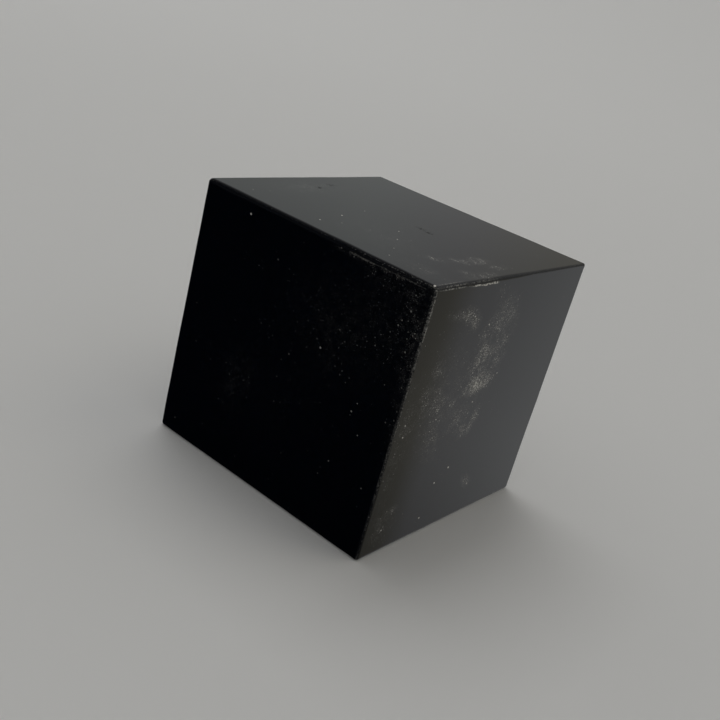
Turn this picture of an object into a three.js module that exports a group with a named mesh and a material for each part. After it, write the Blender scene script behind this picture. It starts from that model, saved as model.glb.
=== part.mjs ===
// A solid cube of black volcanic glass (obsidian), sawn, ground and polished to a mirror finish.
//
// The real object is one piece of stone: no shell, no seams, no fasteners and nothing inside.
// So the model is one closed solid: a block with six flat faces, whose arrises (the edges where
// two faces meet) are eased to a fine rounding, and whose corners are rounded where three meet.
//
// Millimetres, +Z up. The origin is the middle of the face that the cube rests on.

import * as THREE from 'three';
import { RoundedBoxGeometry } from 'three/addons/geometries/RoundedBoxGeometry.js';

// Driving dimensions. A hand-ground cube is a little out of true, so each side has its own length.
const LENGTH = 52.0; // along X
const DEPTH = 50.8; // along Y
const HEIGHT = 50.4; // along Z

// How far the rounding reaches in from each pair of faces. The hand that eases the arrises
// leans longer on some of them, so an arris may be deeper one way than the other.
const EASING_X = 0.6; // from the two faces across X
const EASING_Y = 0.8; // from the two faces across Y
const EASING_Z = 0.8; // from the two faces across Z

// Flats that stand for each half of a rounding.
const ARRIS_STEPS = 4;

/**
 * A box centred on the origin whose edges and corners are rounded as quarter ellipses.
 * Each vertex of a RoundedBoxGeometry has, as its normal, the direction that its rounding faces
 * there. The vertex is placed that way from the centre of its corner's ellipsoid.
 */
function easedBlock(size, easing, steps) {
  const smallestEasing = Math.min(easing.x, easing.y, easing.z);
  const geometry = new RoundedBoxGeometry(size.x, size.y, size.z, steps, smallestEasing);
  const position = geometry.attributes.position;
  const normal = geometry.attributes.normal;
  const half = size.clone().multiplyScalar(0.5);
  const cornerCentre = half.clone().sub(easing);
  const place = new THREE.Vector3();
  const facing = new THREE.Vector3();
  for (let i = 0; i < position.count; i += 1) {
    place.fromBufferAttribute(position, i);
    facing.fromBufferAttribute(normal, i);
    position.setXYZ(
      i,
      Math.sign(place.x) * cornerCentre.x + easing.x * facing.x,
      Math.sign(place.y) * cornerCentre.y + easing.y * facing.y,
      Math.sign(place.z) * cornerCentre.z + easing.z * facing.z,
    );
  }
  return geometry;
}

/** Mirror-polished obsidian: almost black, with the clear gloss of glass. */
function polishedObsidian() {
  return new THREE.MeshStandardMaterial({ color: 0x050506, roughness: 0.04, metalness: 0.0 });
}

function polishedCube() {
  const size = new THREE.Vector3(LENGTH, DEPTH, HEIGHT);
  const easing = new THREE.Vector3(EASING_X, EASING_Y, EASING_Z);
  const cube = new THREE.Mesh(easedBlock(size, easing, ARRIS_STEPS), polishedObsidian());
  cube.name = 'polished_cube';
  cube.position.z = HEIGHT / 2;
  return cube;
}

const part = new THREE.Group();
part.add(polishedCube());

export default part;
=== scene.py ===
"""A cube of mirror-polished obsidian, one solid piece of stone, on a plain pale studio floor.

The mesh is the CAD block again at a finer grain: six true flats, arrises whose rounding wanders
as hand polishing leaves it, and small shell-shaped chips bitten out of the arrises and flats.
One procedural material adds the dust, finger smears, wear and dull marks of a handled stone,
with painted highlight along two arrises of the right face and painted light and shade in how
strong the dust shows on each face.
"""

import math
import random

import bmesh
import bpy
import numpy as np
from mathutils import Matrix, Vector, noise


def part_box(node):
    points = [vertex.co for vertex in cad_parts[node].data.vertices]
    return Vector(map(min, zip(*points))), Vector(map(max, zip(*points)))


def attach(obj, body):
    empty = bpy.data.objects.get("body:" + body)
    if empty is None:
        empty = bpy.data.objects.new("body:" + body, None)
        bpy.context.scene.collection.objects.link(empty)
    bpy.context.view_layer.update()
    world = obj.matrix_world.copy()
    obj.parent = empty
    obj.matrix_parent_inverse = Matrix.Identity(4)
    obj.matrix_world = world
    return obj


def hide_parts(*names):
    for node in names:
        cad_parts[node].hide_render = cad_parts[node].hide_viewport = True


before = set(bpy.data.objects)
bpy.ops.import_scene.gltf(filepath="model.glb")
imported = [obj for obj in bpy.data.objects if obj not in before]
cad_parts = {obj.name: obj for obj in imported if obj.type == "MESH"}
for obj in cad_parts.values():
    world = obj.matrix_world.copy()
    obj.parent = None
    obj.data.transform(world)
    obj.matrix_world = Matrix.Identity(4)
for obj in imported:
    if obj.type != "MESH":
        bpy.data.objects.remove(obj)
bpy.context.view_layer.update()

MM = 0.001
CUBE_NODE = "polished_cube"
LOW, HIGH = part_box(CUBE_NODE)
CENTRE = (LOW + HIGH) / 2
HALF = (HIGH - LOW) / 2
CENTRE_ARRAY = np.array(CENTRE)
HALF_ARRAY = np.array(HALF)
UP = Vector((0, 0, 1))

# Each face has the way it looks out, the way that runs across it and the way that runs down it.
FACES = {
    "front": (Vector((0, -1, 0)), Vector((1, 0, 0)), Vector((0, 0, -1))),
    "right": (Vector((1, 0, 0)), Vector((0, 1, 0)), Vector((0, 0, -1))),
    "back": (Vector((0, 1, 0)), Vector((-1, 0, 0)), Vector((0, 0, -1))),
    "left": (Vector((-1, 0, 0)), Vector((0, -1, 0)), Vector((0, 0, -1))),
    "top": (Vector((0, 0, 1)), Vector((1, 0, 0)), Vector((0, -1, 0))),
    "bottom": (Vector((0, 0, -1)), Vector((1, 0, 0)), Vector((0, 1, 0))),
}


def times(a, b):
    """Two vectors multiplied axis by axis."""
    return Vector((a.x * b.x, a.y * b.y, a.z * b.z))


def out(face):
    """The way that a face looks out."""
    return FACES[face][0]


def on_face(face, across, down):
    """A point on a face, from shares 0 to 1 of the way across it and down it."""
    outward, rightward, downward = FACES[face]
    way = outward + rightward * (2 * across - 1) + downward * (2 * down - 1)
    return CENTRE + times(way, HALF)


# --- The shape of the stone -----------------------------------------------------------------

# Radii of each arris in mm at its two ends, the end at the low coordinate first. An arris is
# named by the two faces that meet there, in alphabetical order.
USUAL_ARRIS = (0.70, 0.70)
ARRIS_RADIUS = {
    ("front", "top"): (1.00, 0.90),
    ("right", "top"): (0.74, 0.40),
    ("front", "right"): (0.52, 0.48),
    ("left", "top"): (0.66, 0.58),
    ("back", "top"): (0.62, 0.56),
    ("back", "left"): (0.58, 0.52),
    ("bottom", "front"): (0.60, 0.64),
    ("bottom", "right"): (0.66, 0.60),
}
# Where arrises meet, their radii blend into each other over about this distance.
ARRIS_BLEND = 0.3 * MM
# The rounding wanders along an arris: the size of a wave, and its share of the radius.
SLOW_WANDER = (6.0 * MM, 0.16)
QUICK_WANDER = (1.3 * MM, 0.07)

# Grid lines: close together where an arris may be, further apart on the flats.
ARRIS_ZONE = 1.3 * MM
ARRIS_LINES = 14
FLAT_SPACING = 0.8 * MM
# Points closer together than this are joined, where two faces meet.
WELD_DISTANCE = 0.002 * MM


def arrises():
    """Every pair of faces that share an arris, with that arris's two radii in mm."""
    pairs = []
    for first in FACES:
        for second in FACES:
            if first < second and out(first).dot(out(second)) == 0:
                radii = ARRIS_RADIUS.get((first, second), USUAL_ARRIS)
                pairs.append((first, second, radii))
    return pairs


def wander(points):
    """How much the rounding varies along the arrises, about 1."""
    slow_size, slow_share = SLOW_WANDER
    quick_size, quick_share = QUICK_WANDER
    values = [
        1
        + slow_share * noise.noise(Vector(p) / slow_size)
        + quick_share * noise.noise(Vector(p) / quick_size)
        for p in points
    ]
    return np.array(values)


def rounding_radius(points):
    """The radius of the rounding near each point: that of the nearest arris, blended at corners."""
    weights = np.zeros(len(points))
    radii = np.zeros(len(points))
    local = points - CENTRE_ARRAY
    for first, second, (low_radius, high_radius) in arrises():
        gaps = []
        for face in (first, second):
            outward = np.array(out(face))
            reach = np.abs(outward) @ HALF_ARRAY
            gaps.append(reach - local @ outward)
        weight = 1 / (gaps[0] ** 2 + gaps[1] ** 2 + ARRIS_BLEND**2)
        weights += weight
        along = np.abs(out(first).cross(out(second)))
        share = 0.5 + 0.5 * (local @ along) / (HALF_ARRAY @ along)
        radii += weight * (low_radius + (high_radius - low_radius) * share) * MM
    return radii / weights * wander(points)


def eased(points):
    """Points of the sharp block moved onto the eased block, and the way that each one faces."""
    radius = rounding_radius(points)[:, None]
    local = points - CENTRE_ARRAY
    core = np.clip(local, -(HALF_ARRAY - radius), HALF_ARRAY - radius)
    facing = local - core
    facing /= np.linalg.norm(facing, axis=1)[:, None]
    return CENTRE_ARRAY + core + radius * facing, facing


def grid_lines(half):
    """Places of the grid lines along one axis, from -half to half."""
    close = np.linspace(0, ARRIS_ZONE, ARRIS_LINES)
    flat_half = half - ARRIS_ZONE
    flat_cells = 2 * round(flat_half / FLAT_SPACING)
    flat = np.linspace(-flat_half, flat_half, flat_cells + 1)
    return np.concatenate([-half + close[:-1], flat, half - close[-2::-1]])


def face_grid(face):
    """The corner points and cells of one face of the sharp block."""
    outward, rightward, downward = (np.array(way) for way in FACES[face])
    across, down = np.meshgrid(
        grid_lines(np.abs(rightward) @ HALF_ARRAY),
        grid_lines(np.abs(downward) @ HALF_ARRAY),
    )
    flat_place = across.ravel()[:, None] * rightward + down.ravel()[:, None] * downward
    points = CENTRE_ARRAY + outward * HALF_ARRAY + flat_place
    rows, columns = across.shape
    index = np.arange(rows * columns).reshape(rows, columns)
    cells = [index[1:, :-1], index[1:, 1:], index[:-1, 1:], index[:-1, :-1]]
    return points, np.stack([c.ravel() for c in cells], axis=1)


def block_mesh():
    """The eased block as one closed mesh."""
    mesh = bpy.data.meshes.new("polished_stone")
    builder = bmesh.new()
    for face in FACES:
        points, cells = face_grid(face)
        places, _ = eased(points)
        corners = [builder.verts.new(p) for p in places]
        for cell in cells:
            builder.faces.new([corners[i] for i in cell])
    bmesh.ops.remove_doubles(builder, verts=builder.verts, dist=WELD_DISTANCE)
    bmesh.ops.recalc_face_normals(builder, faces=builder.faces)
    builder.to_mesh(mesh)
    builder.free()
    return mesh


# --- Chips and pits -------------------------------------------------------------------------

# Chipped stretches of arris: the two faces that meet, the face that the stretch is measured
# from, where it starts and ends as shares of the arris, how many chips, and the largest in mm.
CHIPPED = [
    ("right", "top", "front", 0.00, 0.20, 16, 0.30),
    ("right", "top", "front", 0.20, 0.37, 26, 0.42),
    ("right", "top", "front", 0.37, 1.00, 9, 0.22),
    ("front", "top", "right", 0.00, 0.30, 22, 0.26),
    ("front", "top", "right", 0.30, 1.00, 10, 0.20),
    ("front", "right", "top", 0.00, 0.32, 18, 0.24),
    ("front", "right", "top", 0.32, 1.00, 14, 0.22),
    ("front", "left", "top", 0.05, 0.95, 9, 0.22),
    ("front", "bottom", "left", 0.10, 0.95, 10, 0.26),
    ("right", "bottom", "front", 0.05, 0.95, 10, 0.24),
    ("right", "back", "top", 0.05, 0.95, 9, 0.20),
    ("back", "top", "right", 0.02, 0.98, 12, 0.22),
    ("back", "left", "top", 0.05, 0.95, 14, 0.36),
    ("back", "bottom", "right", 0.05, 0.95, 9, 0.34),
    ("left", "top", "back", 0.02, 0.98, 12, 0.22),
    ("left", "bottom", "back", 0.05, 0.95, 9, 0.34),
]
# Single larger chips: the same three faces, the share along the arris, and the reach in mm.
LARGE_CHIPS = [
    ("back", "left", "top", 0.71, 0.95),
    ("back", "left", "top", 0.24, 0.55),
    ("left", "bottom", "back", 0.40, 0.85),
]
SMALLEST_CHIP = 0.12 * MM
CHIP_DEPTH_SHARE = 0.26
# How far a chip leans over onto one of its two faces: the most, and that of a larger chip.
MOST_LEAN = 0.5
LARGE_CHIP_LEAN = 0.6
CHIP_SEED = 52

# Pits left in the flats: the face, the share across and down, and the reach in mm. A pit is a
# gas bubble or a plucked grain that the polishing opened.
PITS = [
    ("top", 0.556, 0.497, 0.26),
    ("top", 0.578, 0.503, 0.20),
    ("top", 0.598, 0.498, 0.28),
    ("top", 0.618, 0.504, 0.22),
    ("front", 0.229, 0.053, 0.22),
    ("right", 0.392, 0.172, 0.20),
    ("left", 0.31, 0.27, 0.30),
    ("left", 0.66, 0.58, 0.24),
    ("back", 0.42, 0.36, 0.28),
    ("back", 0.73, 0.81, 0.34),
    ("bottom", 0.55, 0.40, 0.40),
    ("bottom", 0.20, 0.70, 0.30),
]
PIT_DEPTH_SHARE = 0.16

# The balls that bite out the chips are a little long and lumpy. Each ball takes its lumps from its
# own place in the noise, up to SEED_SPREAD away.
BALL_DIVISIONS = 3
BALL_STRETCH = (0.8, 1.25)
BALL_LUMPS = 0.10
LUMPS_ACROSS = 9
SEED_SPREAD = 50
BALL_SEED = 7
# Balls that are cut together stay this many reaches apart, so that they never touch.
BALL_CLEARANCE = 1.6
# Keeps a division from being by zero.
TINY = 1e-30


def arris_point(first, second, start, share):
    """A point on the eased arris between two faces, and the way that the arris faces there."""
    along = -out(start)
    middle = CENTRE + times(out(first) + out(second), HALF)
    sharp = middle + times(along, HALF) * (2 * share - 1)
    places, facings = eased(np.array([sharp]))
    return Vector(places[0]), Vector(facings[0])


def bite(builder, place, facing, reach, depth, draw):
    """Adds the lumpy ball that bites out a shell-shaped chip, reach wide and depth deep."""
    ball_radius = (reach**2 / 4 + depth**2) / (2 * depth)
    middle = place + facing * (ball_radius - depth)
    made = bmesh.ops.create_icosphere(builder, subdivisions=BALL_DIVISIONS, radius=1)
    stretch = draw.uniform(*BALL_STRETCH)
    turn = facing.to_track_quat("Z", "Y").to_matrix()
    turn = turn @ Matrix.Rotation(draw.uniform(0, math.tau), 3, "Z")
    seed = Vector([draw.uniform(0, SEED_SPREAD) for _ in range(3)])
    for vert in made["verts"]:
        lumpiness = noise.noise(vert.co * LUMPS_ACROSS + seed)
        lump = 1 + BALL_LUMPS * depth / ball_radius * lumpiness
        shaped = Vector((vert.co.x * stretch, vert.co.y / stretch, vert.co.z))
        vert.co = middle + turn @ shaped * ball_radius * lump


def chip_list():
    """Every chip and pit as its place, the way it faces, its reach and its depth."""
    draw = random.Random(CHIP_SEED)
    chips = []
    for first, second, start, low, high, count, largest in CHIPPED:
        for _ in range(count):
            place, facing = arris_point(first, second, start, draw.uniform(low, high))
            lean = out(draw.choice((first, second))) * draw.uniform(0, MOST_LEAN)
            reach = SMALLEST_CHIP + (largest * MM - SMALLEST_CHIP) * draw.random() ** 2
            chips.append((place, (facing + lean).normalized(), reach, reach * CHIP_DEPTH_SHARE))
    for first, second, start, share, largest in LARGE_CHIPS:
        place, facing = arris_point(first, second, start, share)
        lean = out(draw.choice((first, second))) * LARGE_CHIP_LEAN
        reach = largest * MM
        chips.append((place, (facing + lean).normalized(), reach, reach * CHIP_DEPTH_SHARE))
    for face, across, down, largest in PITS:
        reach = largest * MM
        chips.append((on_face(face, across, down), out(face), reach, reach * PIT_DEPTH_SHARE))
    return chips


def ball_batches():
    """The balls of all chips, sorted into meshes in which no two balls touch."""
    draw = random.Random(BALL_SEED)
    batches = []
    for place, facing, reach, depth in chip_list():
        for batch in batches:
            if all(
                (place - taken_place).length > BALL_CLEARANCE * (reach + taken_reach)
                for taken_place, taken_reach in batch["taken"]
            ):
                break
        else:
            batch = {"builder": bmesh.new(), "taken": []}
            batches.append(batch)
        bite(batch["builder"], place, facing, reach, depth, draw)
        batch["taken"].append((place, reach))
    return batches


def cut_chips(stone):
    """Cuts the chips out of the stone. Their faces take the second material, which marks them."""
    marker = bpy.data.materials.new("chip_marker")
    stone.data.materials.append(bpy.data.materials.new("stone_marker"))
    stone.data.materials.append(marker)
    for batch in ball_batches():
        balls_mesh = bpy.data.meshes.new("chip_balls")
        batch["builder"].to_mesh(balls_mesh)
        batch["builder"].free()
        balls_mesh.materials.append(marker)
        balls = bpy.data.objects.new("chip_balls", balls_mesh)
        bpy.context.scene.collection.objects.link(balls)
        cut = stone.modifiers.new("chips", "BOOLEAN")
        cut.operation = "DIFFERENCE"
        cut.solver = "MANIFOLD"
        cut.object = balls
        apply_modifiers(stone)
        bpy.data.objects.remove(balls)


def apply_modifiers(piece):
    """Replaces the piece's mesh with what its modifiers make of it."""
    graph = bpy.context.evaluated_depsgraph_get()
    made = bpy.data.meshes.new_from_object(piece.evaluated_get(graph))
    piece.modifiers.clear()
    piece.data = made


def values_of(collection, name, kind=float, width=1):
    """One property of every item of a mesh, as an array with width numbers in each row."""
    values = np.zeros(len(collection) * width, kind)
    collection.foreach_get(name, values)
    return values.reshape(-1, width) if width > 1 else values


def mark_chips(mesh):
    """Marks the chipped faces for the material. Returns 1 for each of them and 0 for the rest."""
    chipped = values_of(mesh.polygons, "material_index", kind=np.int32)
    mark = mesh.attributes.new("fracture", "FLOAT", "FACE")
    mark.data.foreach_set("value", chipped.astype(np.float32))
    mesh.polygons.foreach_set("material_index", np.zeros(len(chipped), np.int32))
    mesh.materials.clear()
    return chipped


def set_normals(mesh, chipped):
    """Gives the polished faces their true normals, and each chip smooth ones of its own."""
    mesh.polygons.foreach_set("use_smooth", np.ones(len(chipped), bool))
    _, facing = eased(values_of(mesh.vertices, "co", width=3))
    corner_vertex = values_of(mesh.loops, "vertex_index", kind=np.int32)
    corner_counts = values_of(mesh.polygons, "loop_total", kind=np.int32)
    inside = np.repeat(chipped, corner_counts) == 1
    face_normals = values_of(mesh.polygons, "normal", width=3)
    areas = values_of(mesh.polygons, "area")
    corner_normals = np.repeat(face_normals * areas[:, None], corner_counts, axis=0)
    scoop = np.zeros((len(mesh.vertices), 3))
    np.add.at(scoop, corner_vertex[inside], corner_normals[inside])
    scoop /= np.maximum(np.linalg.norm(scoop, axis=1), TINY)[:, None]
    normals = np.where(inside[:, None], scoop[corner_vertex], facing[corner_vertex])
    mesh.normals_split_custom_set(normals)


# --- The surface of the stone ---------------------------------------------------------------

# Colours are linear.
OBSIDIAN = (0.0008, 0.0015, 0.0034, 1)
# The pale colour of dust and wear, also used for the painted highlight lines along arrises.
DUST_AND_HIGHLIGHT = (0.78, 0.76, 0.70, 1)
FRACTURE = (0.16, 0.16, 0.155, 1)
POLISH_ROUGHNESS = 0.035
OBSIDIAN_IOR = 1.5
# What each kind of mark adds to the roughness.
SMEAR_ROUGHNESS = 0.03
DUST_ROUGHNESS = 0.6
FRACTURE_ROUGHNESS = 0.22
DULL_ROUGHNESS = 0.5
# How much of a chip's surface shows the colour of the fracture.
FRACTURE_SHARE = 0.6
DUST_BUMP_STRENGTH = 0.5
DUST_BUMP_HEIGHT = 0.03 * MM

# Dusty smears: the face, the share across and down of the middle, the width and height in mm,
# the turn in degrees, and how thick the dust lies there. How strong the dust shows on each face is
# also painted light and shade: strong on the right face, as if a sun lit that side, and faint on
# the front face, which is painted as lying in shade.
SMEARS = [
    ("right", 0.17, 0.112, 9.0, 3.0, 6, 0.26),
    ("right", 0.25, 0.120, 8.0, 4.2, 18, 0.48),
    ("right", 0.30, 0.155, 4.0, 4.5, 0, 0.40),
    ("right", 0.42, 0.060, 8.0, 6.0, 0, 0.16),
    ("right", 0.50, 0.130, 12.0, 10.0, 20, 0.20),
    ("right", 0.43, 0.200, 9.0, 8.0, 0, 0.25),
    ("right", 0.47, 0.290, 15.0, 24.0, 10, 0.26),
    ("right", 0.415, 0.310, 5.4, 9.0, 6, 0.50),
    ("right", 0.54, 0.290, 5.0, 9.0, 0, 0.20),
    ("right", 0.440, 0.408, 9.0, 5.2, -8, 0.95),
    ("right", 0.50, 0.400, 10.0, 4.0, 0, 0.26),
    ("right", 0.505, 0.545, 3.4, 6.4, 12, 0.44),
    ("right", 0.455, 0.600, 6.0, 4.0, 0, 0.62),
    ("right", 0.40, 0.545, 9.0, 7.0, 20, 0.27),
    ("right", 0.32, 0.455, 5.0, 3.6, 0, 0.30),
    ("right", 0.16, 0.305, 8.0, 4.0, 10, 0.20),
    ("right", 0.15, 0.400, 7.0, 8.0, 0, 0.17),
    ("right", 0.22, 0.460, 8.0, 11.0, -20, 0.13),
    ("right", 0.25, 0.610, 6.0, 10.0, -20, 0.18),
    ("right", 0.21, 0.440, 22.0, 32.0, -12, 0.13),
    ("right", 0.05, 0.620, 6.0, 36.0, 0, 0.15),
    ("right", 0.10, 0.890, 9.0, 11.0, 0, 0.22),
    ("right", 0.13, 0.832, 5.0, 2.6, 0, 0.24),
    ("right", 0.60, 0.850, 7.5, 3.4, 38, 0.42),
    ("right", 0.35, 0.450, 38.0, 48.0, 0, 0.095),
    ("top", 0.865, 0.560, 4.8, 7.0, 0, 0.50),
    ("top", 0.932, 0.540, 2.8, 7.0, 0, 0.62),
    ("top", 0.855, 0.655, 4.2, 9.0, 28, 0.46),
    ("top", 0.815, 0.755, 5.6, 3.4, -10, 0.40),
    ("top", 0.970, 0.700, 3.6, 13.0, 0, 0.44),
    ("top", 0.930, 0.750, 3.8, 4.6, 0, 0.34),
    ("top", 0.890, 0.900, 13.0, 7.0, 0, 0.24),
    ("top", 0.60, 0.760, 36.0, 24.0, 20, 0.14),
    ("top", 0.12, 0.620, 11.0, 28.0, 0, 0.20),
    # The front face's dust is kept faint: painted shade.
    ("front", 0.96, 0.130, 9.0, 24.0, 0, 0.095),
    ("front", 0.99, 0.380, 5.0, 36.0, 0, 0.085),
    ("front", 0.86, 0.180, 32.0, 30.0, 0, 0.066),
    ("front", 0.62, 0.240, 22.0, 18.0, 20, 0.036),
    ("front", 0.70, 0.400, 14.0, 12.0, 20, 0.030),
    ("front", 0.32, 0.650, 11.0, 17.0, 10, 0.064),
    ("front", 0.86, 0.035, 24.0, 6.0, 0, 0.070),
    ("front", 0.67, 0.024, 10.0, 1.2, 0, 0.170),
    ("front", 0.83, 0.024, 14.0, 1.2, 0, 0.130),
    ("front", 0.50, 0.500, 60.0, 60.0, 0, 0.030),
    ("left", 0.28, 0.200, 12.0, 9.0, 20, 0.15),
    ("left", 0.34, 0.340, 9.0, 16.0, -12, 0.24),
    ("left", 0.31, 0.450, 5.0, 7.0, 10, 0.36),
    ("left", 0.42, 0.500, 12.0, 9.0, 30, 0.17),
    ("left", 0.70, 0.700, 15.0, 6.0, 22, 0.20),
    ("left", 0.62, 0.760, 9.0, 5.0, -10, 0.22),
    ("left", 0.45, 0.450, 44.0, 44.0, 0, 0.07),
    ("back", 0.66, 0.620, 10.0, 18.0, 24, 0.22),
    ("back", 0.60, 0.720, 6.0, 6.0, 0, 0.32),
    ("back", 0.72, 0.500, 9.0, 8.0, 0, 0.19),
    ("back", 0.24, 0.300, 14.0, 6.0, -32, 0.24),
    ("back", 0.33, 0.240, 7.0, 5.0, 10, 0.20),
    ("back", 0.14, 0.800, 9.0, 12.0, 0, 0.17),
    ("back", 0.50, 0.500, 46.0, 46.0, 0, 0.07),
    ("bottom", 0.50, 0.500, 40.0, 36.0, 0, 0.30),
]
# Single grains of dust: the face, the share across and down, the width in mm, and how bright,
# which also holds painted light and shade: brightest on the right face, mostly dim on the front.
GRAINS = [
    ("right", 0.392, 0.172, 0.50, 1.0),
    ("right", 0.432, 0.745, 0.60, 1.0),
    ("right", 0.365, 0.792, 0.54, 1.0),
    ("right", 0.620, 0.868, 0.50, 0.9),
    ("right", 0.052, 0.485, 0.40, 0.7),
    ("right", 0.058, 0.530, 0.44, 0.9),
    ("right", 0.335, 0.932, 0.54, 1.0),
    ("right", 0.235, 0.503, 0.40, 0.8),
    ("right", 0.452, 0.480, 0.44, 0.9),
    ("right", 0.566, 0.386, 0.42, 0.7),
    ("right", 0.100, 0.906, 0.46, 0.8),
    ("right", 0.345, 0.205, 0.36, 0.5),
    ("top", 0.410, 0.747, 0.54, 1.0),
    ("top", 0.436, 0.894, 0.48, 0.9),
    ("top", 0.580, 0.637, 0.46, 0.7),
    ("top", 0.643, 0.729, 0.46, 0.7),
    ("top", 0.752, 0.917, 0.42, 0.6),
    ("top", 0.381, 0.583, 0.50, 0.4),
    ("top", 0.706, 0.832, 0.40, 0.4),
    ("top", 0.476, 0.826, 0.40, 0.3),
    ("top", 0.136, 0.912, 0.40, 0.35),
    ("top", 0.152, 0.842, 0.38, 0.25),
    ("top", 0.983, 0.990, 0.60, 1.0),
    # The front face's grains are mostly dim: painted shade.
    ("front", 0.229, 0.053, 0.46, 0.9),
    ("front", 0.388, 0.156, 0.38, 0.14),
    ("front", 0.644, 0.366, 0.42, 0.40),
    ("front", 0.825, 0.512, 0.40, 0.35),
    ("front", 0.525, 0.446, 0.36, 0.14),
    ("front", 0.935, 0.105, 0.40, 0.30),
    ("front", 0.905, 0.165, 0.34, 0.25),
    ("front", 0.955, 0.235, 0.34, 0.25),
    ("front", 0.940, 0.742, 0.34, 0.20),
    ("front", 0.070, 0.936, 0.40, 0.12),
    ("left", 0.420, 0.300, 0.44, 0.8),
    ("left", 0.660, 0.780, 0.40, 0.6),
    ("left", 0.560, 0.190, 0.38, 0.5),
    ("left", 0.860, 0.420, 0.42, 0.6),
    ("left", 0.180, 0.850, 0.40, 0.5),
    ("back", 0.350, 0.420, 0.44, 0.8),
    ("back", 0.780, 0.620, 0.40, 0.6),
    ("back", 0.880, 0.210, 0.40, 0.5),
    ("back", 0.480, 0.880, 0.42, 0.6),
    ("back", 0.130, 0.510, 0.38, 0.5),
]
# White lines close to an arris. Most are scraped wear; those along the arris between the right and
# top faces, and along the one between the right and front faces, are partly painted highlight, the
# bright line where those arrises catch the light. The face, the share across and down of the
# middle, the width and height in mm, and how white.
SCRAPES_AND_ARRIS_HIGHLIGHTS = [
    # The rows on the right face, and the top face's row by its right edge, are partly painted
    # highlight.
    ("right", 0.275, 0.0155, 9.0, 0.32, 0.60),
    ("right", 0.235, 0.0145, 2.6, 0.42, 0.80),
    ("right", 0.290, 0.0165, 3.4, 0.52, 1.00),
    ("right", 0.343, 0.0150, 2.8, 0.58, 1.00),
    ("right", 0.095, 0.0120, 11.5, 0.30, 0.35),
    ("top", 0.9850, 0.910, 0.40, 9.0, 0.20),
    ("right", 0.0070, 0.090, 0.38, 11.0, 0.34),
    ("right", 0.0060, 0.330, 0.30, 28.0, 0.20),
    ("front", 0.685, 0.0190, 3.0, 0.36, 0.12),
    ("front", 0.740, 0.0200, 4.0, 0.40, 0.13),
    ("front", 0.800, 0.0190, 3.0, 0.34, 0.09),
    ("front", 0.900, 0.0185, 8.0, 0.34, 0.07),
    ("back", 0.360, 0.0140, 9.0, 0.36, 0.50),
    ("left", 0.0080, 0.420, 0.34, 14.0, 0.50),
]
# Dull marks: the face, the share across and down, the width and height in mm, and the turn in
# degrees.
DULL_MARKS = [
    ("top", 0.570, 0.492, 3.6, 2.4, 0),
    ("top", 0.616, 0.500, 3.6, 2.4, 0),
    ("top", 0.105, 0.450, 2.4, 3.6, 20),
    ("top", 0.130, 0.550, 2.4, 3.6, 20),
    ("left", 0.55, 0.22, 2.4, 1.4, 30),
    ("back", 0.30, 0.30, 2.0, 1.4, -20),
    ("bottom", 0.40, 0.60, 5.0, 3.0, 15),
]
# Worn stretches of arris, dull with tiny bruises: the two faces that meet, the face that the
# stretch is measured from, its middle as a share of the arris, its length in mm, and how worn.
WORN = [
    ("right", "top", "front", 0.29, 9.0, 0.40),
    ("right", "top", "front", 0.10, 15.0, 0.50),
    ("front", "top", "right", 0.10, 22.0, 0.08),
    ("front", "right", "top", 0.12, 24.0, 0.28),
    ("front", "right", "top", 0.60, 30.0, 0.16),
    ("back", "left", "top", 0.30, 22.0, 0.70),
    ("back", "top", "right", 0.60, 24.0, 0.55),
    ("left", "top", "back", 0.25, 16.0, 0.60),
    ("right", "bottom", "front", 0.50, 60.0, 0.40),
    ("front", "bottom", "left", 0.50, 60.0, 0.40),
]

# Each noise below is the size of its clouds in mm, its detail and its roughness. Each pair of
# edges is where the soft step that follows the noise starts and ends.
DUST_PATCHES = (1.8, 4, 0.5)
DUST_PATCH_EDGES = (0.18, 0.72)
FILM_PATCHES = (0.45, 4, 0.6)
FILM_PATCH_EDGES = (0.32, 0.70)
SCUFFS = (0.6, 3, 0.6)
SCUFF_EDGES = (0.38, 0.62)
SCRAPE_AND_HIGHLIGHT_BREAKS = (0.40, 3, 0.7)
SCRAPE_AND_HIGHLIGHT_BREAK_EDGES = (0.40, 0.60)
BRUISES = (0.35, 3, 0.7)
BRUISE_EDGES = (0.42, 0.66)
POLISH_SMEARS = (5.0, 3, 0.5)
POLISH_SMEAR_EDGES = (0.52, 0.78)

# Marks on a face reach this far into the stone, in mm.
SPOT_DEPTH = 1.5
# What the soft spots of each kind of mark are multiplied by.
SMEAR_GAIN = 1.8
GRAIN_GAIN = 2.2
SCRAPE_AND_HIGHLIGHT_GAIN = 2.5
DULL_GAIN = 1.2
WEAR_GAIN = 1.5
# Single grains are a little narrower one way, and all lie at the same slant, in degrees.
GRAIN_ASPECT = 0.8
GRAIN_TURN = 40

# Wear reaches this far from its arris, and its bruises fade out between two distances, all in mm.
WEAR_REACH = 2.2
WORN_BAND_EDGES = (0.20, 0.42)
# The wear that every arris has, and how much of the stone full wear covers.
WEAR_EVERYWHERE = 0.06
WEAR_COVER = 0.55

# Marks and grains have ragged rims: waves in each mm, and how far they shift a rim in mm.
RAG_WAVES = 7.0
RAG_SHIFT = 0.05

# Layers of dust, with at most one grain in each square cell of a face: the cell and the widest
# grain, in mm. The two coarser layers are shifted, so that their cells don't start together with
# those of the fine one.
FINE_LAYER = (0.24, 0.18)
MIDDLING_LAYER = (0.53, 0.29)
SPARSE_LAYER = (2.9, 0.24)
LAYER_SHIFT = (7.3, 5.1, 9.7)
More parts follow.
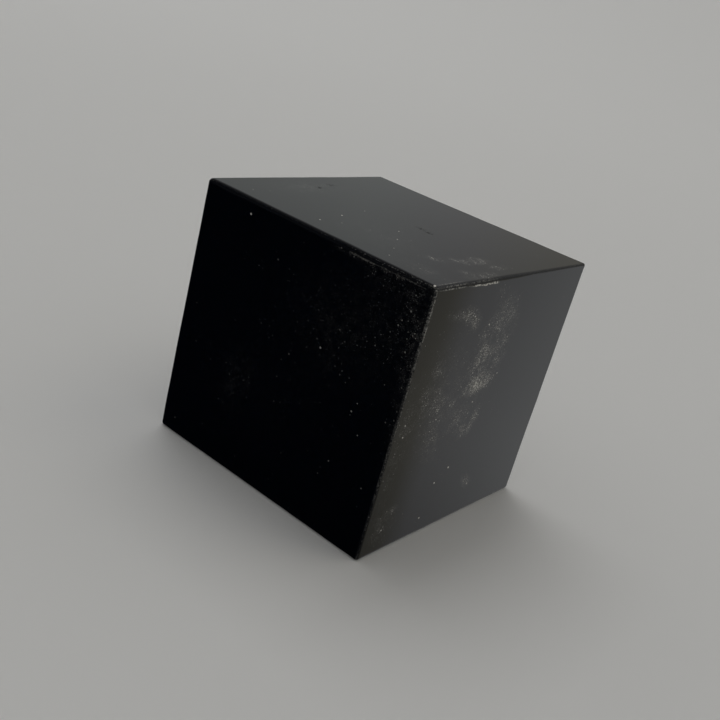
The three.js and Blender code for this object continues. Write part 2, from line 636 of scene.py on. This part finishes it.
# How many of a layer's cells have a grain, and how well a grain covers the stone.
FINE_DENSITY = 0.75
FINE_COVER = 2.6
MIDDLING_DENSITY = 1.5
MIDDLING_COVER = 3.0
THINNEST_COVER = 0.10
SPARSE_DENSITY = 0.07
SPARSE_COVER = 0.5
FILM_COVER = 0.34
# Where dust lies thin it covers much less: the powers of its amount that the cover follows.
DEPTH_POWER = 1.6
MIDDLING_POWER = 1.5
# Within a layer: how far a grain's middle keeps from its cell's rim, the smallest grain and the
# dimmest as shares of the largest and the brightest, the power that makes most of them dim, and
# how sharply a grain ends.
CELL_MARGIN = 0.18
SMALLEST_GRAIN = 0.4
DIMMEST_GRAIN = 0.2
DIM_POWER = 2.0
GRAIN_SHARPNESS = 2.5
# Offsets that make the random numbers of each face, and those of the two draws, differ.
FACE_SEED = 977.0
SECOND_DRAW = (0.0, 331.0, 127.0)
# A surface belongs to the axis along which its normal times this is 1 or more.
FACING_GAIN = 1.2

# Sockets of the colour mix, which share their names with those of the other kinds of mix.
MIX_FIRST, MIX_SECOND, MIX_RESULT = 6, 7, 2


class Graph:
    """Adds nodes to a shader tree, so that a material reads as a list of steps."""

    def __init__(self, tree):
        self.tree = tree

    def feed(self, socket, value):
        """Links a socket to an input, or sets the input to a plain value."""
        if isinstance(value, bpy.types.NodeSocket):
            self.tree.links.new(value, socket)
        else:
            socket.default_value = value

    def node(self, kind, settings=None, inputs=None):
        """A new node with its settings and inputs filled in."""
        made = self.tree.nodes.new(kind)
        for name, value in (settings or {}).items():
            setattr(made, name, value)
        for name, value in (inputs or {}).items():
            self.feed(made.inputs[name], value)
        return made

    def math(self, operation, *values, clamp=False):
        """The result of an operation on numbers."""
        made = self.node("ShaderNodeMath", {"operation": operation, "use_clamp": clamp})
        for socket, value in zip(made.inputs, values):
            self.feed(socket, value)
        return made.outputs[0]

    def vector(self, operation, *values):
        """The result of an operation on vectors."""
        made = self.node("ShaderNodeVectorMath", {"operation": operation})
        for socket, value in zip(made.inputs, values):
            self.feed(socket, value)
        return made.outputs[0]

    def scaled(self, vector, factor):
        """A vector or colour times a number."""
        inputs = {"Vector": vector, "Scale": factor}
        made = self.node("ShaderNodeVectorMath", {"operation": "SCALE"}, inputs)
        return made.outputs[0]

    def noise(self, place, size, detail, roughness):
        """Cloudy noise from 0 to 1 whose clouds are about size across."""
        inputs = {"Vector": place, "Scale": 1 / size, "Detail": detail, "Roughness": roughness}
        return self.node("ShaderNodeTexNoise", None, inputs).outputs["Fac"]

    def step(self, value, low, high):
        """0 below low, 1 above high, and a smooth rise between."""
        inputs = {"Value": value, "From Min": low, "From Max": high}
        settings = {"interpolation_type": "SMOOTHSTEP"}
        return self.node("ShaderNodeMapRange", settings, inputs).outputs["Result"]

    def mix(self, share, first, second):
        """Two colours mixed: the first at share 0 and the second at share 1."""
        made = self.node("ShaderNodeMix", {"data_type": "RGBA"})
        self.feed(made.inputs["Factor"], share)
        self.feed(made.inputs[MIX_FIRST], first)
        self.feed(made.inputs[MIX_SECOND], second)
        return made.outputs[MIX_RESULT]

    def total(self, values):
        """All the values added up."""
        result = values[0]
        for value in values[1:]:
            result = self.math("ADD", result, value)
        return result

    def ramp(self, value, stops):
        """Colours along a value, from (value, colour) stops."""
        made = self.node("ShaderNodeValToRGB", None, {"Fac": value})
        elements = made.color_ramp.elements
        while len(elements) < len(stops):
            elements.new(0.5)
        for element, (position, colour) in zip(elements, stops):
            element.position = position
            element.color = colour
        return made.outputs["Color"]


def blob(graph, place, middle, ways, sizes):
    """1 at a middle, falling to 0 at the surface of an ellipsoid. Everything is in mm."""
    turn = Matrix(ways).transposed().to_euler()
    inputs = {"Vector": place, "Location": middle, "Rotation": turn, "Scale": sizes}
    local = graph.node("ShaderNodeMapping", {"vector_type": "TEXTURE"}, inputs)
    settings = {"gradient_type": "SPHERICAL"}
    inputs = {"Vector": local.outputs["Vector"]}
    return graph.node("ShaderNodeTexGradient", settings, inputs).outputs["Fac"]


def face_blob(graph, place, face, across, down, width, height, turn):
    """A soft spot on a face, turned in the plane of the face."""
    _, rightward, downward = FACES[face]
    spin = Matrix.Rotation(math.radians(turn), 3, rightward.cross(downward))
    ways = (spin @ rightward, spin @ downward, rightward.cross(downward))
    middle = on_face(face, across, down) / MM
    return blob(graph, place, middle, ways, (width / 2, height / 2, SPOT_DEPTH))


def arris_blob(graph, place, first, second, start, share, length):
    """A soft stretch along an arris."""
    middle, _ = arris_point(first, second, start, share)
    along = out(start)
    ways = (along, out(first), along.cross(out(first)))
    return blob(graph, place, middle / MM, ways, (length / 2, WEAR_REACH, WEAR_REACH))


def face_axes(graph):
    """1 on each axis that lies in the face and 0 on the axis it faces, and a seed for each face."""
    normal = graph.node("ShaderNodeTexCoord").outputs["Normal"]
    strongest = graph.scaled(graph.vector("ABSOLUTE", normal), FACING_GAIN)
    facing = graph.vector("FLOOR", strongest)
    signed = graph.vector("MULTIPLY", normal, facing)
    seed = graph.vector("FLOOR", graph.vector("ADD", signed, (0.5, 0.5, 0.5)))
    return graph.vector("SUBTRACT", (1, 1, 1), facing), graph.scaled(seed, FACE_SEED)


def specks(graph, place, axes, layer, density):
    """Grains of random size and place, one in a cell at most. Density is the share with one."""
    cell, width = layer
    in_face, seed = axes
    spot = graph.scaled(place, 1 / cell)
    corner = graph.vector("MULTIPLY", graph.vector("FLOOR", spot), in_face)
    corner = graph.vector("ADD", corner, seed)
    noise_kind = {"noise_dimensions": "3D"}
    places = graph.node("ShaderNodeTexWhiteNoise", noise_kind, {"Vector": corner})
    other = graph.vector("ADD", corner, SECOND_DRAW)
    chances = graph.node("ShaderNodeTexWhiteNoise", noise_kind, {"Vector": other})
    inputs = {"Color": chances.outputs["Color"]}
    present, size, light = graph.node("ShaderNodeSeparateColor", None, inputs).outputs

    centre = graph.scaled(places.outputs["Color"], 1 - 2 * CELL_MARGIN)
    centre = graph.vector("ADD", centre, (CELL_MARGIN, CELL_MARGIN, CELL_MARGIN))
    offset = graph.vector("SUBTRACT", graph.vector("FRACTION", spot), centre)
    offset = graph.vector("MULTIPLY", offset, in_face)
    distance = graph.node("ShaderNodeVectorMath", {"operation": "LENGTH"}, {0: offset})
    largest = width / 2 / cell
    smallest = SMALLEST_GRAIN * largest
    radius = graph.math("MULTIPLY_ADD", size, largest - smallest, smallest)
    inward = graph.math("SUBTRACT", radius, distance.outputs["Value"])
    shown = graph.math("MULTIPLY", inward, GRAIN_SHARPNESS / largest, clamp=True)
    light = graph.math("POWER", light, DIM_POWER)
    bright = graph.math("MULTIPLY_ADD", light, 1 - DIMMEST_GRAIN, DIMMEST_GRAIN)
    shown = graph.math("MULTIPLY", shown, bright)
    return graph.math("MULTIPLY", shown, graph.math("LESS_THAN", present, density))


def arris_gap(graph, place):
    """Distance in mm to the nearest arris: the middle one of the distances to three faces."""
    local = graph.vector("SUBTRACT", place, CENTRE / MM)
    local = graph.vector("ABSOLUTE", local)
    gaps = graph.vector("SUBTRACT", HALF / MM, local)
    x_gap, y_gap, z_gap = graph.node("ShaderNodeSeparateXYZ", None, {"Vector": gaps}).outputs
    nearer = graph.math("MINIMUM", x_gap, y_gap)
    farther = graph.math("MAXIMUM", x_gap, y_gap)
    return graph.math("MAXIMUM", nearer, graph.math("MINIMUM", farther, z_gap))


def dust_and_painted_light_amount(graph, place):
    """How thick the dust lies, from the smears, broken up into patches. Its strength on each face
    is also painted light and shade.
    """
    spots = []
    for face, across, down, width, height, turn, strength in SMEARS:
        spot = face_blob(graph, place, face, across, down, width, height, turn)
        spots.append(graph.math("MULTIPLY", spot, strength * SMEAR_GAIN))
    broken = graph.step(graph.noise(place, *DUST_PATCHES), *DUST_PATCH_EDGES)
    return graph.math("MULTIPLY", graph.total(spots), broken)


def dust_layers(graph, place, ragged):
    """Grains of dust, dense and bright where it lies thick, and the milky film between them."""
    amount = dust_and_painted_light_amount(graph, place)
    depth = graph.math("POWER", amount, DEPTH_POWER)
    axes = face_axes(graph)
    shifted = graph.vector("ADD", ragged, LAYER_SHIFT)

    density = graph.math("MULTIPLY", graph.math("SQRT", amount), FINE_DENSITY)
    cover = graph.math("MULTIPLY", depth, FINE_COVER, clamp=True)
    fine = graph.math("MULTIPLY", specks(graph, ragged, axes, FINE_LAYER, density), cover)

    density = graph.math("MULTIPLY", amount, MIDDLING_DENSITY)
    thick = graph.math("POWER", amount, MIDDLING_POWER)
    cover = graph.math("MULTIPLY_ADD", thick, MIDDLING_COVER, THINNEST_COVER, clamp=True)
    middling = specks(graph, shifted, axes, MIDDLING_LAYER, density)
    middling = graph.math("MULTIPLY", middling, cover)

    sparse = specks(graph, shifted, axes, SPARSE_LAYER, SPARSE_DENSITY)
    sparse = graph.math("MULTIPLY", sparse, SPARSE_COVER)

    patches = graph.step(graph.noise(place, *FILM_PATCHES), *FILM_PATCH_EDGES)
    film = graph.math("MULTIPLY", graph.math("MULTIPLY", depth, patches), FILM_COVER)
    return [fine, middling, sparse, film]


def single_grains(graph, place):
    """The single grains of dust."""
    grains = []
    for face, across, down, width, bright in GRAINS:
        height = width * GRAIN_ASPECT
        grain = face_blob(graph, place, face, across, down, width, height, GRAIN_TURN)
        grain = graph.math("MULTIPLY", grain, GRAIN_GAIN, clamp=True)
        grains.append(graph.math("MULTIPLY", grain, bright))
    return grains


def scrapes_and_arris_highlights(graph, place):
    """White lines close to the arrises, broken along their length: scraped wear, and painted
    highlight along the right face's arrises with the top and front faces.
    """
    lines = []
    for face, across, down, width, height, white in SCRAPES_AND_ARRIS_HIGHLIGHTS:
        line = face_blob(graph, place, face, across, down, width, height, 0)
        line = graph.math("MULTIPLY", line, SCRAPE_AND_HIGHLIGHT_GAIN, clamp=True)
        lines.append(graph.math("MULTIPLY", line, white))
    broken = graph.step(graph.noise(place, *SCRAPE_AND_HIGHLIGHT_BREAKS), *SCRAPE_AND_HIGHLIGHT_BREAK_EDGES)
    return graph.math("MULTIPLY", graph.total(lines), broken)


def worn_arrises(graph, place):
    """Tiny pale bruises along the arrises, most where they are worn."""
    on_arris = graph.step(arris_gap(graph, place), *WORN_BAND_EDGES)
    on_arris = graph.math("SUBTRACT", 1.0, on_arris)
    stretches = []
    for first, second, start, share, length, strength in WORN:
        stretch = arris_blob(graph, place, first, second, start, share, length)
        stretches.append(graph.math("MULTIPLY", stretch, strength * WEAR_GAIN))
    worn = graph.math("ADD", graph.total(stretches), WEAR_EVERYWHERE)
    bruises = graph.step(graph.noise(place, *BRUISES), *BRUISE_EDGES)
    wear = graph.math("MULTIPLY", graph.math("MULTIPLY", worn, on_arris), bruises)
    return graph.math("MULTIPLY", wear, WEAR_COVER, clamp=True)


def dull_marks(graph, place):
    """Small scuffs that the polish left dull."""
    marks = [face_blob(graph, place, *mark) for mark in DULL_MARKS]
    scuffed = graph.step(graph.noise(place, *SCUFFS), *SCUFF_EDGES)
    return graph.math("MULTIPLY", graph.math("MULTIPLY", graph.total(marks), scuffed), DULL_GAIN)


def polished_obsidian():
    """Mirror-polished obsidian with the dust, smears and worn arrises of a handled stone; its
    pale marks also hold painted highlight and painted light and shade.
    """
    material = bpy.data.materials.new("polished_obsidian")
    material.use_nodes = True
    graph = Graph(material.node_tree)
    shader = material.node_tree.nodes["Principled BSDF"]
    coordinates = graph.node("ShaderNodeTexCoord").outputs["Object"]
    place = graph.scaled(coordinates, 1 / MM)
    jitter = graph.node("ShaderNodeTexNoise", None, {"Vector": place, "Scale": RAG_WAVES})
    jitter = graph.vector("SUBTRACT", jitter.outputs["Color"], (0.5, 0.5, 0.5))
    ragged = graph.vector("ADD", place, graph.scaled(jitter, RAG_SHIFT))

    # The pale cover mixes real dust and wear with painted highlight and painted light and shade.
    *grit_and_highlights, film = dust_layers(graph, place, ragged)
    # The white lines by the arrises carry painted highlight along the right face's top and front
    # arrises.
    grit_and_highlights = grit_and_highlights + [scrapes_and_arris_highlights(graph, ragged)] + single_grains(graph, ragged)
    dust_and_highlights = graph.math("ADD", graph.total(grit_and_highlights), film, clamp=True)
    cover = graph.math("MAXIMUM", dust_and_highlights, worn_arrises(graph, place))
    fracture = graph.node("ShaderNodeAttribute", {"attribute_name": "fracture"}).outputs["Fac"]
    stone = graph.mix(graph.math("MULTIPLY", fracture, FRACTURE_SHARE), OBSIDIAN, FRACTURE)
    graph.feed(shader.inputs["Base Color"], graph.mix(cover, stone, DUST_AND_HIGHLIGHT))

    smear = graph.step(graph.noise(place, *POLISH_SMEARS), *POLISH_SMEAR_EDGES)
    dull = dull_marks(graph, ragged)
    roughness = graph.math("MULTIPLY_ADD", smear, SMEAR_ROUGHNESS, POLISH_ROUGHNESS)
    roughness = graph.math("MULTIPLY_ADD", cover, DUST_ROUGHNESS, roughness)
    roughness = graph.math("MULTIPLY_ADD", fracture, FRACTURE_ROUGHNESS, roughness)
    roughness = graph.math("MULTIPLY_ADD", dull, DULL_ROUGHNESS, roughness, clamp=True)
    graph.feed(shader.inputs["Roughness"], roughness)
    bump = graph.node("ShaderNodeBump", None, {"Height": dust_and_highlights, "Strength": DUST_BUMP_STRENGTH})
    bump.inputs["Distance"].default_value = DUST_BUMP_HEIGHT
    graph.feed(shader.inputs["Normal"], bump.outputs["Normal"])
    shader.inputs["IOR"].default_value = OBSIDIAN_IOR
    return material


def polished_stone():
    """Makes the finished cube, which stands for the CAD node."""
    stone = bpy.data.objects.new("obsidian_cube", block_mesh())
    bpy.context.scene.collection.objects.link(stone)
    cut_chips(stone)
    set_normals(stone.data, mark_chips(stone.data))
    stone.data.materials.append(polished_obsidian())
    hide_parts(CUBE_NODE)
    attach(stone, "root")


# --- The studio -----------------------------------------------------------------------------

# Lengths here are in metres.
FLOOR_COLOUR = (0.80, 0.80, 0.79, 1)
PAPER_ROUGHNESS = 0.9
PAPER_SHEEN = 0.1
FLOOR_RADIUS = 0.9
COVE_RADIUS = 2.2
WALL_HEIGHT = 2.6
COVE_STEPS = 24
COVE_SIDES = 128
COVE_WELD = 0.01 * MM


def cove_profile():
    """The points that spin into the cove, from the middle of the floor to the top of the wall."""
    profile = [(0, 0, 0), (FLOOR_RADIUS, 0, 0)]
    for i in range(1, COVE_STEPS + 1):
        angle = math.pi / 2 * i / COVE_STEPS
        across = FLOOR_RADIUS + COVE_RADIUS * math.sin(angle)
        profile.append((across, 0, COVE_RADIUS * (1 - math.cos(angle))))
    profile.append((FLOOR_RADIUS + COVE_RADIUS, 0, WALL_HEIGHT))
    return profile


def cove_mesh():
    """The cove's profile spun round into one smooth surface."""
    builder = bmesh.new()
    points = [builder.verts.new(place) for place in cove_profile()]
    edges = [builder.edges.new(pair) for pair in zip(points, points[1:])]
    bmesh.ops.spin(
        builder,
        geom=points + edges,
        axis=(0, 0, 1),
        cent=(0, 0, 0),
        steps=COVE_SIDES,
        angle=math.tau,
    )
    bmesh.ops.remove_doubles(builder, verts=builder.verts, dist=COVE_WELD)
    for face in builder.faces:
        face.smooth = True
    mesh = bpy.data.meshes.new("studio_cove")
    builder.to_mesh(mesh)
    builder.free()
    return mesh


def studio_paper():
    """Plain pale paper."""
    material = bpy.data.materials.new("studio_paper")
    material.use_nodes = True
    paper = material.node_tree.nodes["Principled BSDF"]
    paper.inputs["Base Color"].default_value = FLOOR_COLOUR
    paper.inputs["Roughness"].default_value = PAPER_ROUGHNESS
    paper.inputs["Specular IOR Level"].default_value = PAPER_SHEEN
    return material


def studio_cove():
    """A round floor that curves up into a wall, so that each view has the same plain backdrop."""
    cove = bpy.data.objects.new("studio_cove", cove_mesh())
    bpy.context.scene.collection.objects.link(cove)
    cove.data.materials.append(studio_paper())
    cove.visible_glossy = False


# How bright the plain light from all round is, for every ray but a mirrored one.
AMBIENT = 0.34

# Tints of the soft surroundings that the polished faces mirror.
NEUTRAL = (1.0, 1.0, 1.0)
OLIVE = (1.04, 1.0, 0.85)
WARM = (1.03, 1.0, 0.88)
SKY = (0.985, 1.0, 1.005)
MISTY = (0.96, 1.0, 0.98)

# The surroundings below and above the horizon: the way that each stop lies, in degrees from +Y
# towards +X, how bright it is there, and its tint.
BELOW_HORIZON = [
    (-180, 0.10, NEUTRAL),
    (-160, 0.003, NEUTRAL),
    (-134, 0.003, NEUTRAL),
    (-100, 0.030, NEUTRAL),
    (-60, 0.15, NEUTRAL),
    (0, 0.445, SKY),
    (23, 0.445, SKY),
    (25, 0.43, SKY),
    (28.1, 0.42, NEUTRAL),
    (29.2, 0.30, OLIVE),
    (31, 0.25, OLIVE),
    (60, 0.20, OLIVE),
    (100, 0.10, NEUTRAL),
    (150, 0.03, NEUTRAL),
    (180, 0.10, NEUTRAL),
]
ABOVE_HORIZON = [
    (-180, 0.26, NEUTRAL),
    (-158, 0.05, NEUTRAL),
    (-120, 0.05, NEUTRAL),
    (-90, 0.15, NEUTRAL),
    (-60, 0.26, MISTY),
    (-46, 0.275, MISTY),
    (-36, 0.288, MISTY),
    (-30, 0.250, NEUTRAL),
    (-23, 0.207, WARM),
    (0, 0.205, WARM),
    (45, 0.24, NEUTRAL),
    (90, 0.27, NEUTRAL),
    (140, 0.27, NEUTRAL),
    (180, 0.26, NEUTRAL),
]
# Heights here are those of a direction, from -1 straight down to 1 straight up.
HORIZON_EDGES = (-0.06, 0.12)
# Close to the floor the surroundings darken to this share.
FLOOR_EDGES = (-0.56, -0.38)
FLOOR_SHARE = 0.56
# Overhead they go from dark on the -Y side to light on the +Y side.
OVERHEAD_EDGES = (0.28, 0.55)
OVERHEAD_SIDE_EDGES = (-0.35, 0.75)
OVERHEAD_DARK = 0.03
OVERHEAD_LIGHT = 0.26


def shade(level, tint=NEUTRAL):
    """A grey of the given brightness, tinted."""
    return (level * tint[0], level * tint[1], level * tint[2], 1)


def compass(stops):
    """Stops in degrees as stops of a full turn from 0 to 1."""
    return [((degrees + 180) / 360, shade(level, tint)) for degrees, level, tint in stops]


def studio_world():
    """Soft light from all round, and the soft dark and light that the polished faces mirror."""
    world = bpy.data.worlds.new("studio_world")
    bpy.context.scene.world = world
    world.use_nodes = True
    graph = Graph(world.node_tree)
    world.node_tree.nodes.clear()
    direction = graph.node("ShaderNodeTexCoord").outputs["Generated"]
    x, y, z = graph.node("ShaderNodeSeparateXYZ", None, {"Vector": direction}).outputs
    azimuth = graph.math("ARCTAN2", x, y)
    azimuth = graph.math("MULTIPLY_ADD", azimuth, 1 / math.tau, 0.5)
    below = graph.ramp(azimuth, compass(BELOW_HORIZON))
    below = graph.mix(graph.step(z, *FLOOR_EDGES), graph.scaled(below, FLOOR_SHARE), below)
    above = graph.ramp(azimuth, compass(ABOVE_HORIZON))
    side = graph.step(y, *OVERHEAD_SIDE_EDGES)
    overhead = graph.mix(side, shade(OVERHEAD_DARK), shade(OVERHEAD_LIGHT))
    above = graph.mix(graph.step(z, *OVERHEAD_EDGES), above, overhead)
    mirrored = graph.mix(graph.step(z, *HORIZON_EDGES), below, above)
    glossy_ray = graph.node("ShaderNodeLightPath").outputs["Is Glossy Ray"]
    colour = graph.mix(glossy_ray, shade(AMBIENT), mirrored)
    background = graph.node("ShaderNodeBackground", None, {"Color": colour, "Strength": 1.0})
    output = graph.node("ShaderNodeOutputWorld")
    graph.feed(output.inputs["Surface"], background.outputs["Background"])


# The lamps: the name, the place, where it aims, its width, its power in watts and its colour.
LAMPS = [
    ("left_softbox", (-1.00, 0.60, 2.2), (-1.00, 0.60, 0), 1.4, 11.0, (1, 1, 1)),
    ("right_softbox", (1.00, 0.90, 2.2), (1.00, 0.90, 0), 1.2, 2.5, (1.0, 0.90, 0.68)),
]


def soft_lamp(name, place, aim, size, power, colour):
    """A large square lamp that lights the scene but isn't mirrored in the stone."""
    light = bpy.data.lights.new(name, "AREA")
    light.shape = "SQUARE"
    light.size = size
    light.energy = power
    light.color = colour
    lamp = bpy.data.objects.new(name, light)
    lamp.location = place
    lamp.rotation_euler = (Vector(aim) - Vector(place)).to_track_quat("-Z", "Y").to_euler()
    lamp.visible_glossy = False
    bpy.context.scene.collection.objects.link(lamp)


# --- The camera -----------------------------------------------------------------------------

VIEW_AZIMUTH = math.radians(33.96)
VIEW_ELEVATION = math.radians(21.77)
VIEW_ROLL = math.radians(-15.37)
VIEW_DISTANCE = 188.4 * MM
VIEW_AIM = CENTRE + Vector((-0.17, -1.60, -3.09)) * MM
FIELD_OF_VIEW = math.radians(40.69)
# The sensor is in mm, and the nearest and farthest things that it sees are in metres.
SENSOR_WIDTH = 36
CLIP_START = 0.01
CLIP_END = 20


def view_camera():
    """The camera, held close to the stone and a little askew."""
    level = math.cos(VIEW_ELEVATION)
    look = Vector((
        -math.sin(VIEW_AZIMUTH) * level,
        math.cos(VIEW_AZIMUTH) * level,
        -math.sin(VIEW_ELEVATION),
    ))
    level_right = look.cross(UP).normalized()
    level_up = level_right.cross(look)
    up = level_up * math.cos(VIEW_ROLL) + level_right * math.sin(VIEW_ROLL)
    right = look.cross(up)
    data = bpy.data.cameras.new("view_camera")
    data.sensor_width = SENSOR_WIDTH
    data.angle = FIELD_OF_VIEW
    data.clip_start = CLIP_START
    data.clip_end = CLIP_END
    camera = bpy.data.objects.new("view_camera", data)
    turn = Matrix((right, up, -look)).transposed().to_4x4()
    camera.matrix_world = Matrix.Translation(VIEW_AIM - look * VIEW_DISTANCE) @ turn
    bpy.context.scene.collection.objects.link(camera)
    bpy.context.scene.camera = camera


view_camera()
polished_stone()
studio_cove()
studio_world()
for lamp in LAMPS:
    soft_lamp(*lamp)
bpy.context.scene.view_settings.view_transform = "Standard"
